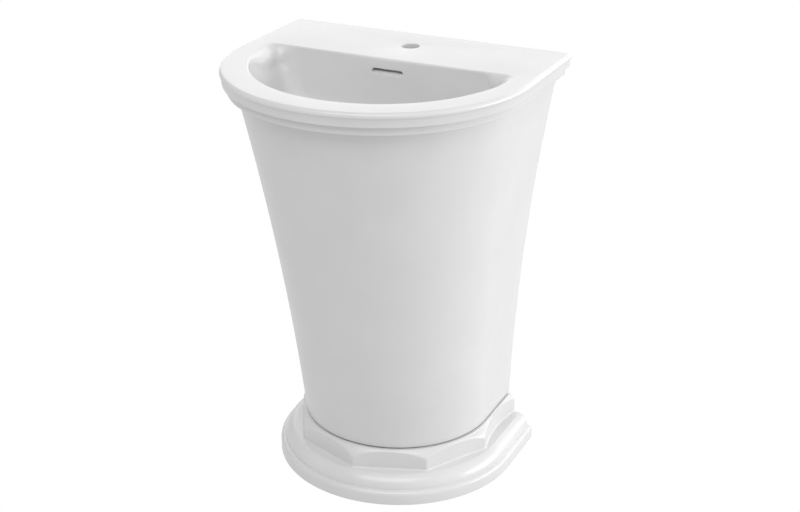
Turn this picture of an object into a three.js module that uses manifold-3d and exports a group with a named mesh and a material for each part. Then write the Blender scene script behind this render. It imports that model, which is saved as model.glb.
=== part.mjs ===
// Pedestal sink: basin, flared column, moulded plinth, pop-up waste, bottle trap and fixings.
// Millimetres, +Z up. While the parts are shaped, the wall is the plane y = 0, the room is at
// negative y and x = 0 is the middle; the whole sink is then moved to stand over the origin.
import * as THREE from 'three';
import { mergeVertices } from 'three/addons/utils/BufferGeometryUtils.js';
import Module from 'manifold-3d';

const wasm = await Module();
wasm.setup();

// Every ceramic outline is a D: two straight sides run out from the wall into a half circle.
// `half` is its half width and `reach` is how far the half circle's centre is from the wall.
const DECK = { half: 297, reach: 216.5, top: 850, underside: 824 };
const FRONT_STEPS = 28;
const PAST_WALL = 5;

// The rim: a rolled top edge over an almost upright face.
const RIM_ROLL = 7.4;
const RIM_FACE_TOP = 838;
const RIM_FACE_HALF = 294.5;
const RIM_FOOT_HALF = 293.6;
const RIM_FOOT = 823;
const RIM_FOOT_ROUND = 1.5;

// The band under the rim is a skirt that hangs over the top of the column.
const BAND = { half: 285, bottom: 806, round: 3 };
const SKIRT_INNER = { half: 270.5, reach: 213 };

// The bowl's mouth is a circle cut off by a straight back edge. Its lip rolls over tightly,
// but softly in the two back corners, where the mouth also swells outwards.
const MOUTH = { radius: 251, centre: -209, back: -181.5, sharpness: 16 };
const MOUTH_SWELL = 11;
const LIP = { round: 5, cornerRound: 36, sweep: 80, steps: 4 };
const BOWL_SECTORS = 40;
const BOWL_DEPTH = 142;
const BOWL_WALL = 11;

// The waste's flange sits on a flat seat at the bottom of the bowl.
const SEAT = DECK.top - BOWL_DEPTH;

// Below the lip the sides lean in more than the back does, down to the curve into the floor.
const LEAN = { side: 0.45, back: 0.08, corner: 8, until: 85 };
const FLOOR_SHARPNESS = 7;
const WALL_MIDDLE = 50;

const DRAIN = { y: -285, hole: 23, seat: 33, boss: 38, bossBottom: 684 };
const TAP_HOLE = { y: -86, radius: 17.5 };
const OVERFLOW = { z: 825, width: 64, height: 10 };
const OVERFLOW_DUCT = { width: 66, gap: 9, wall: 8, back: -168 };
const APRON = { half: 200, thickness: 14, bottom: 730 };
const WALL_FIXING = { x: 140, z: 765, hole: 10 };

const COLUMN = { foot: 98.2, footHalf: 194, top: 819.4, neck: 804, wall: 11 };
const COLUMN_LEVELS = 7;
const COLUMN_SIDE = { slope: 0.028, curve: 1.098e-4 };
const COLUMN_REACH = { foot: 133.4, slope: 0.144, curve: -4.43e-5 };

const PLINTH = { reach: 134, half: 248.5, top: 94.7, ledge: 53.3, step: 28.5 };
const PLINTH_STEP_ROUND = 9;
const PLINTH_ROUND = { half: 211.5, z: 27, radius: 27.3, from: 4.2, to: 74.5 };
const FLARE = { half: 169.5, z: 51.4, radius: 50.7 };
const FLARE_STEPS = 7;
const FACET = { radius: 213, turn: 40.5, sideAtWall: 207.2, sag: 11.3 };
const FLOOR_FIXING = { x: 148, y: -70, hole: 4.5, lug: 12, half: 20, outerX: 243 };

// The trap hangs on the waste and leaves through the wall at this height.
const OUTLET_Z = 560;
const PIPE = { outer: 16, inner: 14.4 };
const FIT = 0.3;
const ROUND_STEPS = 20;
const SMALL_ROUND_STEPS = 12;

const CERAMIC = { color: 0xf4f4f2, roughness: 0.15, metalness: 0 };
const CHROME = { color: 0xc9ccce, roughness: 0.12, metalness: 1 };
const BRASS = { color: 0xb59a5b, roughness: 0.35, metalness: 1 };
const STEEL = { color: 0xa9abad, roughness: 0.4, metalness: 1 };
const RUBBER = { color: 0x2b2b2c, roughness: 0.85, metalness: 0 };
const GREY_SEAL = { color: 0x8f8f8c, roughness: 0.8, metalness: 0 };
const WHITE_PLASTIC = { color: 0xececea, roughness: 0.45, metalness: 0 };

const sink = new THREE.Group();

// --- solids and meshes ---

// A closed geometry as a solid, with its faces turned outwards.
function solidOf(geometry) {
  geometry.deleteAttribute('normal');
  geometry.deleteAttribute('uv');
  const merged = mergeVertices(geometry, 1e-4);
  const points = merged.getAttribute('position').array;
  const triangles = withoutSlivers(merged.index.array);
  if (enclosedVolume(points, triangles) < 0) turnOver(triangles);
  const mesh = new wasm.Mesh({
    numProp: 3,
    vertProperties: Float32Array.from(points),
    triVerts: Uint32Array.from(triangles),
  });
  return new wasm.Manifold(mesh);
}

function withoutSlivers(index) {
  const kept = [];
  for (let i = 0; i < index.length; i += 3) {
    const [a, b, c] = [index[i], index[i + 1], index[i + 2]];
    if (a !== b && b !== c && c !== a) kept.push(a, b, c);
  }
  return kept;
}

function enclosedVolume(points, triangles) {
  const corner = (i) => new THREE.Vector3().fromArray(points, 3 * triangles[i]);
  let volume = 0;
  for (let i = 0; i < triangles.length; i += 3) {
    volume += corner(i).dot(corner(i + 1).cross(corner(i + 2))) / 6;
  }
  return volume;
}

function turnOver(triangles) {
  for (let i = 0; i < triangles.length; i += 3) {
    [triangles[i], triangles[i + 1]] = [triangles[i + 1], triangles[i]];
  }
}

function addPart(name, solid, look) {
  const result = solid.getMesh();
  const geometry = new THREE.BufferGeometry();
  geometry.setAttribute('position', new THREE.BufferAttribute(result.vertProperties, 3));
  geometry.setIndex(new THREE.BufferAttribute(result.triVerts, 1));
  geometry.computeVertexNormals();
  const mesh = new THREE.Mesh(geometry, new THREE.MeshStandardMaterial(look));
  mesh.name = name;
  sink.add(mesh);
}

function block(x0, x1, y0, y1, z0, z1) {
  const geometry = new THREE.BoxGeometry(x1 - x0, y1 - y0, z1 - z0);
  geometry.translate((x0 + x1) / 2, (y0 + y1) / 2, (z0 + z1) / 2);
  return solidOf(geometry);
}

// A turned piece on an upright axis. Its profile is [radius, height] points that start and end
// on the axis, or that go round once and close.
function turned(profile, segments = ROUND_STEPS) {
  const points = profile.map(([r, z]) => new THREE.Vector2(r, z));
  if (profile[0][0] > 0) points.push(points[0].clone());
  const geometry = new THREE.LatheGeometry(points, segments);
  geometry.rotateX(Math.PI / 2);
  return solidOf(geometry);
}

function ring(outer, inner, z0, z1, segments = ROUND_STEPS) {
  return turned([[inner, z0], [outer, z0], [outer, z1], [inner, z1]], segments);
}

function rod(radius, z0, z1, segments = ROUND_STEPS) {
  return turned([[0, z0], [radius, z0], [radius, z1], [0, z1]], segments);
}

// A solid made on the upright axis, laid down along Y: its height becomes the distance
// out from the wall.
function layDown(solid) {
  return solid.rotate([90, 0, 0]);
}

function nut(acrossFlats, bore, z0, z1) {
  const corner = acrossFlats / Math.sqrt(3);
  const shape = new THREE.Shape();
  for (let i = 0; i < 6; i++) {
    const turn = (i * Math.PI) / 3;
    shape[i ? 'lineTo' : 'moveTo'](corner * Math.cos(turn), corner * Math.sin(turn));
  }
  const geometry = new THREE.ExtrudeGeometry(shape, { depth: z1 - z0, bevelEnabled: false });
  geometry.translate(0, 0, z0);
  return solidOf(geometry).subtract(rod(bore, z0 - 1, z1 + 1));
}

// --- lofts ---

// A solid skinned over a stack of outlines that all have the same number of points.
function loft(outlines, heights, middleY) {
  const count = outlines[0].length;
  const geometry = new THREE.CylinderGeometry(1, 1, 1, count, heights.length - 1);
  const position = geometry.getAttribute('position');
  for (let i = 0; i < position.count; i++) {
    const level = Math.round((position.getY(i) + 0.5) * (heights.length - 1));
    const onRim = Math.hypot(position.getX(i), position.getZ(i)) > 0.5;
    const turn = Math.atan2(position.getZ(i), position.getX(i)) / (2 * Math.PI);
    const [x, y] = onRim ? outlines[level][Math.round((turn + 1) * count) % count] : [0, middleY];
    position.setXYZ(i, x, y, heights[level]);
  }
  return solidOf(geometry);
}

// The D outline, from the right side round the front to the left side and along the wall.
function dOutline(half, reach, wallY = 0, steps = FRONT_STEPS) {
  const points = [];
  for (let i = 0; i <= steps; i++) {
    const turn = (Math.PI * i) / steps;
    points.push([half * Math.cos(turn), -reach - half * Math.sin(turn)]);
  }
  points.push([-half, wallY], [half, wallY]);
  return points;
}

// levels: [half, z] or [half, z, reach] from bottom to top.
function dSolid(levels, reach, wallY = 0, steps = FRONT_STEPS) {
  const outlines = levels.map(([half, , own]) => dOutline(half, own ?? reach, wallY, steps));
  return loft(outlines, levels.map(([, z]) => z), -reach);
}

// Points of a rounded edge: an arc in the (half width, height) plane.
function roundEdge(half, z, radius, from, to, steps) {
  const points = [];
  for (let i = 0; i <= steps; i++) {
    const turn = THREE.MathUtils.degToRad(from + ((to - from) * i) / steps);
    points.push([half + radius * Math.cos(turn), z + radius * Math.sin(turn)]);
  }
  return points;
}

// --- the bowl ---

// How far a D's edge is from the drain's axis, looking along a turn about that axis. The
// circle and the straight back edge run into each other round a corner that gets softer
// as the sharpness falls.
function dReach(turn, radius, backY, sharpness) {
  const [across, back] = [Math.cos(turn), Math.sin(turn)];
  const shift = MOUTH.centre - DRAIN.y;
  const toCircle = back * shift + Math.sqrt(radius ** 2 - (across * shift) ** 2);
  if (back <= 0) return toCircle;
  const toBack = (backY - DRAIN.y) / back;
  return (toCircle ** -sharpness + toBack ** -sharpness) ** (-1 / sharpness);
}

function mouthReach(turn) {
  return dReach(turn, MOUTH.radius, MOUTH.back, MOUTH.sharpness);
}

// 0 along the front and the straight back, 1 in the mouth's two back corners.
function cornerShare(turn) {
  const reach = mouthReach(turn);
  const y = DRAIN.y + reach * Math.sin(turn);
  const x = Math.abs(reach * Math.cos(turn));
  return THREE.MathUtils.smoothstep(y, -320, -230) * THREE.MathUtils.smoothstep(x, 195, 245);
}

// One ring of the lip, as it rolls over from the deck to the wall.
function lipRing(step) {
  return sectors((turn) => {
    const share = cornerShare(turn);
    const round = THREE.MathUtils.lerp(LIP.round, LIP.cornerRound, share);
    const sweep = THREE.MathUtils.degToRad((LIP.sweep * step) / LIP.steps);
    const reach = mouthReach(turn) + MOUTH_SWELL * share - round * Math.sin(sweep);
    return [reach, round * (1 - Math.cos(sweep))];
  });
}

// A ring of the bowl's wall, `grow` outside the water side, and drawn in to `share` of its
// reach where the floor curves under it.
function wallRing(depth, share = 1, grow = 0) {
  const sunk = Math.min(depth, LEAN.until) - LIP.round;
  const radius = MOUTH.radius - LIP.round - LEAN.side * sunk;
  const back = MOUTH.back - LIP.round - LEAN.back * sunk;
  const sharpness = THREE.MathUtils.lerp(MOUTH.sharpness, FLOOR_SHARPNESS, sunk / LEAN.until);
  return sectors((turn) => {
    const reach = dReach(turn, radius, back, sharpness) - LEAN.corner * cornerShare(turn);
    return [reach * share + grow, depth + (share < 1 ? grow : 0)];
  });
}

function sectors(at) {
  const points = [];
  for (let i = 0; i < BOWL_SECTORS; i++) {
    const turn = (2 * Math.PI * i) / BOWL_SECTORS;
    const [reach, depth] = at(turn);
    points.push([reach * Math.cos(turn), DRAIN.y + reach * Math.sin(turn), DECK.top - depth]);
  }
  return points;
}

// A solid skinned over rings of [x, y, z] points, closed by flat fans at both ends.
function ringSolid(rings) {
  const geometry = new THREE.CylinderGeometry(1, 1, 1, BOWL_SECTORS, rings.length - 1);
  const position = geometry.getAttribute('position');
  for (let i = 0; i < position.count; i++) {
    const level = Math.round((position.getY(i) + 0.5) * (rings.length - 1));
    const onRim = Math.hypot(position.getX(i), position.getZ(i)) > 0.5;
    const turn = Math.atan2(position.getZ(i), position.getX(i)) / (2 * Math.PI);
    const k = Math.round((turn + 1) * BOWL_SECTORS) % BOWL_SECTORS;
    const [x, y, z] = rings[level][k];
    position.setXYZ(i, onRim ? x : 0, onRim ? y : DRAIN.y, z);
  }
  return solidOf(geometry);
}

// The bowl's floor as [share of the wall's reach, depth], from the drain out to the wall.
const FLOOR_CURVE = new THREE.CubicBezierCurve(
  new THREE.Vector2(0.2, BOWL_DEPTH),
  new THREE.Vector2(0.62, BOWL_DEPTH - 4),
  new THREE.Vector2(0.93, 125),
  new THREE.Vector2(0.999, LEAN.until),
);
const FLOOR_STEPS = 4;

function floorRings(grow) {
  const rings = [];
  for (let i = 0; i <= FLOOR_STEPS; i++) {
    const { x, y } = FLOOR_CURVE.getPoint(i / FLOOR_STEPS);
    rings.push(wallRing(y, x, grow));
  }
  return rings;
}

function bowlSpace() {
  const rings = [...floorRings(0), wallRing(WALL_MIDDLE)];
  for (let step = LIP.steps; step >= 0; step--) rings.push(lipRing(step));
  rings.push(lipRing(0).map(([x, y]) => [x, y, DECK.top + PAST_WALL]));
  return ringSolid(rings);
}

// The bowl's outside runs up into the deck, where the two become one.
function bowlOutside() {
  const insideDeck = DECK.top - DECK.underside - 2;
  const wall = [WALL_MIDDLE, insideDeck].map((depth) => wallRing(depth, 1, BOWL_WALL));
  return ringSolid([...floorRings(BOWL_WALL), ...wall]);
}

// --- basin ---

function rimAndBand() {
  const rollHalf = DECK.half - RIM_ROLL;
  const levels = [
    ...roundEdge(BAND.half - BAND.round, BAND.bottom + BAND.round, BAND.round, -90, 0, 2),
    [BAND.half, RIM_FOOT],
    ...roundEdge(RIM_FOOT_HALF - RIM_FOOT_ROUND, RIM_FOOT + RIM_FOOT_ROUND, RIM_FOOT_ROUND, -90, 0, 1),
    [RIM_FACE_HALF, RIM_FACE_TOP],
    [DECK.half - 0.8, RIM_FACE_TOP + 2],
    ...roundEdge(rollHalf, DECK.top - RIM_ROLL, RIM_ROLL, 0, 90, 4),
  ];
  const skirtSpace = dSolid(
    [[SKIRT_INNER.half, BAND.bottom - PAST_WALL], [SKIRT_INNER.half, DECK.underside]],
    SKIRT_INNER.reach,
    PAST_WALL,
  );
  return dSolid(levels, DECK.reach).subtract(skirtSpace);
}

// The overflow runs down behind the bowl and forward to the side of the waste hole.
function overflowDuct(grow) {
  const half = OVERFLOW_DUCT.width / 2 + grow;
  const back = OVERFLOW_DUCT.back + grow;
  const downFront = back - OVERFLOW_DUCT.gap - 2 * grow;
  const low = DRAIN.bossBottom + OVERFLOW_DUCT.wall - grow;
  const top = grow ? DECK.underside + 1 : OVERFLOW.z + OVERFLOW.height / 2;
  const down = block(-half, half, downFront, back, low, top);
  const forward = block(-half, half, DRAIN.y + grow, back, low, low + OVERFLOW_DUCT.gap + 2 * grow);
  return down.add(forward);
}

function overflowSlot() {
  const half = OVERFLOW.width / 2;
  const end = OVERFLOW.height / 2;
  const shape = new THREE.Shape();
  shape.absarc(half - end, 0, end, -Math.PI / 2, Math.PI / 2);
  shape.absarc(end - half, 0, end, Math.PI / 2, (3 * Math.PI) / 2);
  const depth = OVERFLOW_DUCT.back - MOUTH.back + 2 * RIM_ROLL + PAST_WALL;
  const geometry = new THREE.ExtrudeGeometry(shape, { depth, bevelEnabled: false, curveSegments: 6 });
  geometry.rotateX(Math.PI / 2);
  geometry.translate(0, OVERFLOW_DUCT.back, OVERFLOW.z);
  return solidOf(geometry);
}

function basin() {
  const wallHole = layDown(rod(WALL_FIXING.hole, -1, APRON.thickness + 1));
  const wallHoles = [-1, 1].map((side) => wallHole.translate([side * WALL_FIXING.x, 0, WALL_FIXING.z]));
  const apron = block(-APRON.half, APRON.half, -APRON.thickness, 0, APRON.bottom, DECK.underside + 1);
  const boss = rod(DRAIN.boss, DRAIN.bossBottom, SEAT + 4).translate([0, DRAIN.y, 0]);
  const tapHole = rod(TAP_HOLE.radius, DECK.underside - 1, DECK.top + 1).translate([0, TAP_HOLE.y, 0]);
  const ceramic = rimAndBand()
    .add(bowlOutside())
    .add(apron)
    .add(boss)
    .add(overflowDuct(OVERFLOW_DUCT.wall))
    .subtract(bowlSpace())
    .subtract(rod(DRAIN.hole, DRAIN.bossBottom - 1, DECK.top).translate([0, DRAIN.y, 0]))
    .subtract(rod(DRAIN.seat, SEAT, DECK.top).translate([0, DRAIN.y, 0]))
    .subtract(tapHole)
    .subtract(overflowSlot())
    .subtract(overflowDuct(0));
  return wallHoles.reduce((body, hole) => body.subtract(hole), ceramic);
}

// --- column ---

// The column's sides and front flare upwards in long curves.
function columnLevel(z, inset) {
  const rise = Math.min(z, COLUMN.neck) - COLUMN.foot;
  const half = COLUMN.footHalf + COLUMN_SIDE.slope * rise + COLUMN_SIDE.curve * rise ** 2;
  const reach = COLUMN_REACH.foot + COLUMN_REACH.slope * rise + COLUMN_REACH.curve * rise ** 2;
  return [half - inset, z, reach];
}

function pedestalColumn() {
  const levels = [columnLevel(COLUMN.foot, 1.2), columnLevel(COLUMN.foot + 1.2, 0)];
  const space = [columnLevel(COLUMN.foot - PAST_WALL, COLUMN.wall)];
  for (let i = 1; i <= COLUMN_LEVELS; i++) {
    const z = COLUMN.foot + ((COLUMN.neck - COLUMN.foot) * i) / COLUMN_LEVELS;
    levels.push(columnLevel(z, 0));
    space.push(columnLevel(z, COLUMN.wall));
  }
  levels.push(columnLevel(COLUMN.top, 0));
  space.push(columnLevel(COLUMN.top + PAST_WALL, COLUMN.wall));
  return dSolid(levels, PLINTH.reach).subtract(dSolid(space, PLINTH.reach, PAST_WALL));
}

// --- plinth ---

function facetCorner(i) {
  const turn = THREE.MathUtils.degToRad(-90 + i * FACET.turn);
  return [FACET.radius * Math.cos(turn), -PLINTH.reach + FACET.radius * Math.sin(turn)];
}

const PAST_FACETS = 10;

// Four flat facets round the front, and a hollow curve along each side to the wall.
function facetPrism() {
  const [cornerX, cornerY] = facetCorner(2);
  const midX = (cornerX + FACET.sideAtWall) / 2 - FACET.sag;
  const pullX = 2 * midX - (cornerX + FACET.sideAtWall) / 2;
  const shape = new THREE.Shape();
  shape.moveTo(-FACET.sideAtWall, 0);
  shape.quadraticCurveTo(-pullX, cornerY / 2, -cornerX, cornerY);
  for (let i = -1; i <= 2; i++) shape.lineTo(...facetCorner(i));
  shape.quadraticCurveTo(pullX, cornerY / 2, FACET.sideAtWall, 0);
  const geometry = new THREE.ExtrudeGeometry(shape, {
    depth: PLINTH.top - PLINTH.ledge + 2 * PAST_FACETS,
    bevelEnabled: false,
    curveSegments: 8,
  });
  geometry.translate(0, 0, PLINTH.ledge - PAST_FACETS);
  return solidOf(geometry);
}

// Equal steps of turn round the flare's arc, which ends at the plinth's top.
function flare() {
  const levels = [];
  const last = Math.asin((PLINTH.top - FLARE.z) / FLARE.radius);
  for (let i = 0; i <= FLARE_STEPS; i++) {
    const turn = (last * i) / FLARE_STEPS;
    levels.push([FLARE.half + FLARE.radius * Math.cos(turn), FLARE.z + FLARE.radius * Math.sin(turn)]);
  }
  return dSolid(levels, PLINTH.reach).intersect(facetPrism());
}

function mouldedFoot() {
  const stepRound = PLINTH_STEP_ROUND;
  const { half, z, radius, from, to } = PLINTH_ROUND;
  const levels = [
    [PLINTH.half, 0],
    ...roundEdge(PLINTH.half - stepRound, PLINTH.step - stepRound, stepRound, 0, 90, 3),
    ...roundEdge(half, z, radius, from, to, 5),
  ];
  return dSolid(levels, PLINTH.reach);
}

// The hollow inside the plinth follows its outside, up to a shelf with an opening to the column.
const PLINTH_SPACE = [[238, -PAST_WALL], [238, 17], [226, 27], [204, 43], [186, 49], [185, 84.5], [165, 84.5]];

// A flat lug inside the right side of the plinth, with the floor screw's hole.
function floorLug() {
  const { x, y, hole, lug, half, outerX } = FLOOR_FIXING;
  const plate = block(x - half, outerX, y - half, y + half, 0, lug);
  return plate.subtract(rod(hole, -1, lug + 1, SMALL_ROUND_STEPS).translate([x, y, 0]));
}

function pedestalPlinth() {
  const [topHalf] = PLINTH_SPACE.at(-1);
  const space = dSolid([...PLINTH_SPACE, [topHalf, PLINTH.top + PAST_WALL]], PLINTH.reach, PAST_WALL);
  const lug = floorLug();
  return mouldedFoot().add(flare()).subtract(space).add(lug).add(lug.mirror([1, 0, 0]));
}

// --- seals under the ceramics ---

const FOOT_SEAL = { outer: 190, inner: 184, wallY: -2, steps: 24 };
const SEAT_PAD = { length: 40, width: 8, sideY: -60 };

// The bead stops just short of the wall.
function footSeal() {
  const z0 = PLINTH.top + FIT;
  const z1 = COLUMN.foot - FIT;
  const { outer, inner, wallY } = FOOT_SEAL;
  const space = dSolid([[inner, z0 - 1], [inner, z1 + 1]], PLINTH.reach, PAST_WALL, FOOT_SEAL.steps);
  return dSolid([[outer, z0], [outer, z1]], PLINTH.reach, wallY, FOOT_SEAL.steps).subtract(space);
}

// A pad on the middle of the column's top edge.
function seatPad(x, y, width, depth) {
  const pad = block(-width / 2, width / 2, -depth / 2, depth / 2, COLUMN.top + FIT, DECK.underside - FIT);
  return pad.translate([x, y, 0]);
}

function addSeatPads() {
  const { length, width, sideY } = SEAT_PAD;
  const [half, , reach] = columnLevel(COLUMN.top, COLUMN.wall / 2);
  addPart('basin_seat_pad_left', seatPad(-half, sideY, width, length), RUBBER);
  addPart('basin_seat_pad_right', seatPad(half, sideY, width, length), RUBBER);
  addPart('basin_seat_pad_front', seatPad(0, -reach - half, length, width), RUBBER);
}

// --- waste, on the drain's axis ---

const FLANGE = SEAT + 2.3;
const TAIL_END = 640;
const TAIL = 20.8;
const GUIDE = { bottom: 655, top: 668, hub: 10, hubBore: 8, reach: 17, spokeHalf: 1.5 };
const WINDOW = { half: 4.5, up: 8, height: 8 };

function atDrain(solid) {
  return solid.translate([0, DRAIN.y, 0]);
}

// The flange is dished to take the plug, and the tail has four windows for the overflow.
function wasteBody() {
  let body = turned([
    [17.5, TAIL_END], [TAIL, TAIL_END], [TAIL, FLANGE], [32, FLANGE], [32, FLANGE + 2.6],
    [31, FLANGE + 4], [28, FLANGE + 4], [21, FLANGE + 1], [17.5, FLANGE - 0.5],
  ]);
  const windowBottom = DRAIN.bossBottom + WINDOW.up;
  const window = block(-WINDOW.half, WINDOW.half, -30, 30, windowBottom, windowBottom + WINDOW.height);
  body = body.subtract(window);
  return body.subtract(window.rotate([0, 0, 90]));
}

// A hub on three spokes inside the tail, for the click cartridge.
function plugGuide() {
  const { bottom, top, hub, hubBore, reach, spokeHalf } = GUIDE;
  let spokes = ring(hub, hubBore, bottom, top);
  for (let i = 0; i < 3; i++) {
    const spoke = block(hub - 1, reach, -spokeHalf, spokeHalf, bottom, top);
    spokes = spokes.add(spoke.rotate([0, 0, 30 + 120 * i]));
  }
  return spokes;
}

function addWaste() {
  const capUnder = FLANGE + 4.7;
  addPart('waste_body', atDrain(wasteBody()), CHROME);
  addPart('waste_upper_seal', atDrain(ring(30, 23.6, SEAT + FIT, FLANGE - FIT)), RUBBER);
  const gasketTop = DRAIN.bossBottom - FIT;
  addPart('waste_lower_gasket', atDrain(turned([
    [TAIL + FIT, 676.5], [31, 676.5], [31, 679], [26, gasketTop], [TAIL + FIT, gasketTop],
  ])), RUBBER);
  addPart('waste_friction_washer', atDrain(ring(31, TAIL + FIT, 674.5, 676.2)), WHITE_PLASTIC);
  addPart('waste_locknut', atDrain(nut(55, TAIL + FIT, 664, 674.2)), BRASS);
  addPart('plug_guide', atDrain(plugGuide()), BRASS);
  addPart('click_cartridge', atDrain(ring(7.7, 5.6, 650, 690, SMALL_ROUND_STEPS)), BRASS);
  addPart('plug_stem', atDrain(rod(5, 658, capUnder - FIT, SMALL_ROUND_STEPS)), BRASS);
  addPart('plug_seal', atDrain(ring(20, 5.4, FLANGE + 2.6, capUnder - FIT)), RUBBER);
  addPart('plug_cap', atDrain(turned([
    [0, capUnder], [30, capUnder], [31, capUnder + 1], [30.4, capUnder + 2.4], [22, capUnder + 4],
    [0, capUnder + 4.6],
  ])), CHROME);
}

// --- bottle trap, hung on the waste's tail ---

const TRAP_TOP = 604;
const TRAP_NECK = 19.5;
const TRAP_BODY_HALF = 31;
const TRAP_BODY_INNER = 28.5;

// Where the side outlet starts, measured from the wall, and how far it reaches inwards.
const OUTLET_START = 70;
const OUTLET_COLLAR = 52;
const OUTLET_ROOT = 24;

function trapBody() {
  const shell = turned([
    [PIPE.outer + FIT, TRAP_TOP], [TRAP_NECK, TRAP_TOP], [TRAP_NECK, 590], [TRAP_BODY_HALF, 584],
    [TRAP_BODY_HALF, 512], [TRAP_BODY_INNER, 512], [TRAP_BODY_INNER, 582], [PIPE.outer + FIT, 588],
  ]);
  const toWall = (solid) => layDown(solid).translate([0, 0, OUTLET_Z]);
  const neck = rod(TRAP_NECK, -OUTLET_START, -OUTLET_ROOT);
  const collar = rod(21, -OUTLET_COLLAR, -OUTLET_ROOT);
  const bore = toWall(rod(PIPE.outer + FIT, -OUTLET_START - 1, -OUTLET_ROOT + 4));
  const insideWall = rod((TRAP_BODY_HALF + TRAP_BODY_INNER) / 2, 500, 600);
  const boss = toWall(neck.add(collar)).subtract(bore).subtract(insideWall);
  return shell.subtract(bore).add(boss);
}

function addTrap() {
  const tubeTop = TAIL_END - FIT - 3;
  addPart('trap_inlet_nut', atDrain(turned([
    [PIPE.outer + FIT, 627], [25, 627], [27, 630], [27, 652], [TAIL + FIT, 652],
    [TAIL + FIT, 632.4], [PIPE.outer + FIT, 632.4],
  ])), CHROME);
  addPart('trap_inlet_washer', atDrain(ring(TAIL - 0.5, 15, tubeTop + FIT, TAIL_END - FIT)), RUBBER);
  addPart('trap_inlet_tube', atDrain(turned([
    [PIPE.inner, 480], [PIPE.outer, 480], [PIPE.outer, tubeTop - 4], [TAIL - 0.5, tubeTop - 4],
    [TAIL - 0.5, tubeTop], [PIPE.inner, tubeTop],
  ])), CHROME);
  addPart('trap_top_nut', atDrain(turned([
    [TRAP_NECK + FIT, 592], [24, 592], [24, 610], [22, 612], [PIPE.outer + FIT, 612],
    [PIPE.outer + FIT, 609], [TRAP_NECK + FIT, 609],
  ])), CHROME);
  addPart('trap_top_washer', atDrain(ring(TRAP_NECK, PIPE.outer + FIT, TRAP_TOP + FIT, 608.7)), RUBBER);
  addPart('trap_body', atDrain(trapBody()), CHROME);
  addPart('trap_cup_seal', atDrain(ring(TRAP_BODY_HALF, 28.5, 508.7, 511.7)), RUBBER);
  addPart('trap_cup', atDrain(turned([
    [0, 444], [20, 445], [30, 452], [34, 462], [34, 522], [TRAP_BODY_HALF + FIT, 522],
    [TRAP_BODY_HALF + FIT, 508.4], [TRAP_BODY_INNER, 508.4], [TRAP_BODY_INNER, 464], [25, 456],
    [18, 449], [0, 448],
  ])), CHROME);
}

// The outlet pieces lie along Y: these heights are distances out from the wall.
function addOutlet() {
  const bodyEnd = -DRAIN.y - OUTLET_START;
  const lay = (solid) => layDown(solid).translate([0, 0, OUTLET_Z]);
  const washer = ring(TRAP_NECK, PIPE.outer + FIT, bodyEnd - 4.3, bodyEnd - FIT);
  addPart('trap_outlet_washer', lay(washer), RUBBER);
  addPart('trap_outlet_nut', lay(turned([
    [PIPE.outer + FIT, bodyEnd - 8], [22, bodyEnd - 8], [24, bodyEnd - 6], [24, bodyEnd + 12],
    [TRAP_NECK + FIT, bodyEnd + 12], [TRAP_NECK + FIT, bodyEnd - 4.6], [PIPE.outer + FIT, bodyEnd - 4.6],
  ])), CHROME);
  addPart('trap_outlet_pipe', lay(ring(PIPE.outer, PIPE.inner, 0, -DRAIN.y - 36)), CHROME);
  addPart('trap_wall_flange', lay(turned([
    [PIPE.outer + FIT, 0], [33, 0], [32.4, 1.6], [20, 8], [PIPE.outer + FIT, 10],
  ])), CHROME);
}

// --- fixings ---

// Each wall bolt runs out from the wall through the basin's apron.
function addWallFixing(label, side) {
  const front = APRON.thickness;
  const place = (solid) => layDown(solid).translate([side * WALL_FIXING.x, 0, WALL_FIXING.z]);
  addPart(`wall_bolt_${label}`, place(rod(5, 0, front + 24, SMALL_ROUND_STEPS)), STEEL);
  addPart(`wall_bush_${label}`, place(turned([
    [5 + FIT, 2], [WALL_FIXING.hole - FIT, 2], [WALL_FIXING.hole - FIT, front + FIT], [16, front + FIT],
    [16, front + 4], [5 + FIT, front + 4],
  ])), WHITE_PLASTIC);
  addPart(`wall_washer_${label}`, place(ring(13, 5 + FIT, front + 4.3, front + 6.3)), STEEL);
  addPart(`wall_nut_${label}`, place(nut(17, 5 + FIT, front + 6.6, front + 14.6)), STEEL);
}

function addFloorFixing(label, side) {
  const lug = FLOOR_FIXING.lug;
  const place = (solid) => solid.translate([side * FLOOR_FIXING.x, FLOOR_FIXING.y, 0]);
  addPart(`floor_screw_${label}`, place(turned([
    [0, 0], [3.5, 0], [3.5, lug + 2.3], [7, lug + 2.3], [6, lug + 5.5], [0, lug + 6.5],
  ], SMALL_ROUND_STEPS)), STEEL);
  addPart(`floor_washer_${label}`, place(ring(9, 3.9, lug + FIT, lug + 2)), WHITE_PLASTIC);
  addPart(`floor_screw_cap_${label}`, place(turned([
    [0, lug + 7.5], [7.5, lug + 7], [9.4, lug + 5.5], [9.4, lug + FIT], [11, lug + FIT], [11, lug + 6],
    [8, lug + 9], [0, lug + 10],
  ], SMALL_ROUND_STEPS)), WHITE_PLASTIC);
}

addPart('basin', basin(), CERAMIC);
addPart('pedestal_column', pedestalColumn(), CERAMIC);
addPart('pedestal_plinth', pedestalPlinth(), CERAMIC);
addPart('column_foot_seal', footSeal(), GREY_SEAL);
addSeatPads();
addWaste();
addTrap();
addOutlet();
addWallFixing('left', -1);
addWallFixing('right', 1);
addFloorFixing('left', -1);
addFloorFixing('right', 1);

sink.position.y = (DECK.half + DECK.reach) / 2;
const scene = new THREE.Group();
scene.add(sink);
export default scene;
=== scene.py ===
"""Pedestal sink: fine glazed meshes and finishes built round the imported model. Metres, +Z up."""

import math

import bmesh
import bpy
from mathutils import Matrix, Vector


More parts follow.
